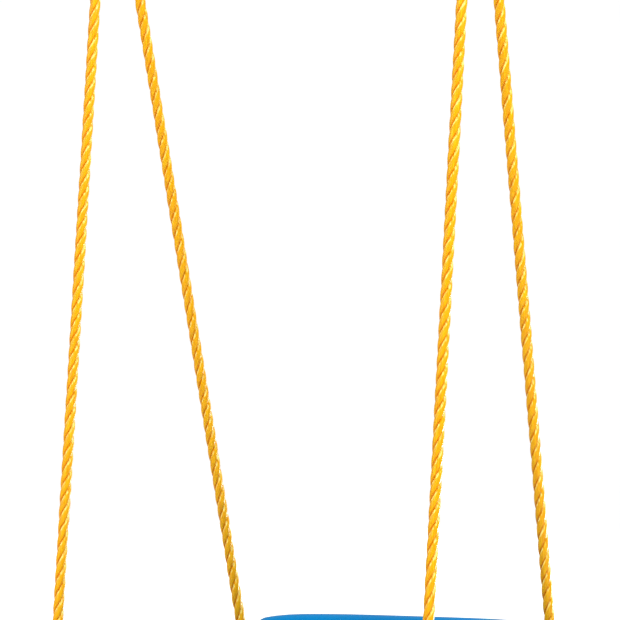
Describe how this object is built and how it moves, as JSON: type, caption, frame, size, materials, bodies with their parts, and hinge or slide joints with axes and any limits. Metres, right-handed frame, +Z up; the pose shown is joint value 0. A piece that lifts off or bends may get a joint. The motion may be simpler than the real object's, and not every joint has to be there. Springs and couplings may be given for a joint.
{
  "type": "saucer nest swing",
  "caption": "Playground swing with a moulded round dished seat and raised back, hung on paired twisted ropes from snap hooks and beam hangers.",
  "frame": {"origin": "centre of the four bolt holes, on the brackets' top faces where they meet the underside of the beam", "axes": "+X along the beam towards the seated child's left, -Y the way the child faces, +Z up"},
  "size_m": [0.573, 0.538, 1.2306],
  "materials": {
    "seat_blue": "semi-gloss moulded",
    "rope_yellow": "glossy twisted polypropylene strands",
    "bracket_paint": "black powder coat",
    "link_steel": "satin zinc plated",
    "bolt_steel": "zinc plated",
    "hook_steel": "polished stainless",
    "sleeve_alloy": "crimped, satin",
    "black_nylon": "matt",
    "pale_nylon": "matt"
  },
  "bodies": {
    "hangers": {"hanger_bracket_left": "bracket_paint", "hanger_bracket_right": "bracket_paint", "hanger_pin_left": "bolt_steel", "hanger_pin_right": "bolt_steel", "hanger_nut_left": "bolt_steel", "hanger_nut_right": "bolt_steel", "hanger_washers_left": "pale_nylon", "hanger_washers_right": "pale_nylon"},
    "link_left": {"hanger_link_left": "link_steel", "hanger_bush_left": "black_nylon"},
    "ropes_left": {"snap_hook_left": "hook_steel", "gate_rivet_left": "hook_steel", "rope_ring_left": "hook_steel", "thimble_front_left": "hook_steel", "thimble_rear_left": "hook_steel", "rope_sleeve_front_left": "sleeve_alloy", "rope_sleeve_rear_left": "sleeve_alloy", "rope_front_left": "rope_yellow", "rope_rear_left": "rope_yellow"},
    "gate_left": {"snap_gate_left": "hook_steel", "gate_spring_left": "hook_steel"},
    "seat": {"seat_shell": "seat_blue", "rope_bush_front_left": "black_nylon", "rope_bush_front_right": "black_nylon", "rope_bush_rear_left": "black_nylon", "rope_bush_rear_right": "black_nylon", "knot_washer_front_left": "bolt_steel", "knot_washer_front_right": "bolt_steel", "knot_washer_rear_left": "bolt_steel", "knot_washer_rear_right": "bolt_steel", "knot_front_left": "rope_yellow", "knot_front_right": "rope_yellow", "knot_rear_left": "rope_yellow", "knot_rear_right": "rope_yellow"},
    "ropes_right": {"snap_hook_right": "hook_steel", "gate_rivet_right": "hook_steel", "rope_ring_right": "hook_steel", "thimble_front_right": "hook_steel", "thimble_rear_right": "hook_steel", "rope_sleeve_front_right": "sleeve_alloy", "rope_sleeve_rear_right": "sleeve_alloy", "rope_front_right": "rope_yellow", "rope_rear_right": "rope_yellow"},
    "gate_right": {"snap_gate_right": "hook_steel", "gate_spring_right": "hook_steel"},
    "link_right": {"hanger_link_right": "link_steel", "hanger_bush_right": "black_nylon"}
  },
  "joints": [
    {"name": "swing", "type": "hinge", "parent": "hangers", "child": "link_left", "pos_m": [-0.225, 0, -0.028], "axis": [1, 0, 0], "range_deg": [-60, 60]},
    {"name": "sway", "type": "hinge", "parent": "link_left", "child": "ropes_left", "pos_m": [-0.225, 0, -0.0873], "axis": [0, 1, 0], "range_deg": [-8, 8]},
    {"name": "gate_left", "type": "hinge", "parent": "ropes_left", "child": "gate_left", "pos_m": [-0.211, 0, -0.1223], "axis": [0, -1, 0], "range_deg": [0, 20], "stiffness_Nm_per_rad": 0.06, "springref_deg": -8.59},
    {"name": "seat_level", "type": "hinge", "parent": "ropes_left", "child": "seat", "pos_m": [-0.225, 0, -1.0211], "axis": [0, 1, 0], "range_deg": [-8, 8], "deforming": ["rope_front_left", "rope_rear_left"]},
    {"name": "sway_right", "type": "hinge", "parent": "seat", "child": "ropes_right", "pos_m": [0.225, 0, -1.0211], "axis": [0, 1, 0], "range_deg": [-8, 8], "deforming": ["rope_front_right", "rope_rear_right"]},
    {"name": "gate_right", "type": "hinge", "parent": "ropes_right", "child": "gate_right", "pos_m": [0.211, 0, -0.1223], "axis": [0, 1, 0], "range_deg": [0, 20], "stiffness_Nm_per_rad": 0.06, "springref_deg": -8.59},
    {"name": "link_level_right", "type": "hinge", "parent": "ropes_right", "child": "link_right", "pos_m": [0.225, 0, -0.0873], "axis": [0, 1, 0], "range_deg": [-8, 8]}
  ],
  "couplings": [
    {"joint": "seat_level", "follows": "sway", "ratio": -1},
    {"joint": "sway_right", "follows": "sway", "ratio": 1},
    {"joint": "link_level_right", "follows": "sway", "ratio": -1}
  ]
}
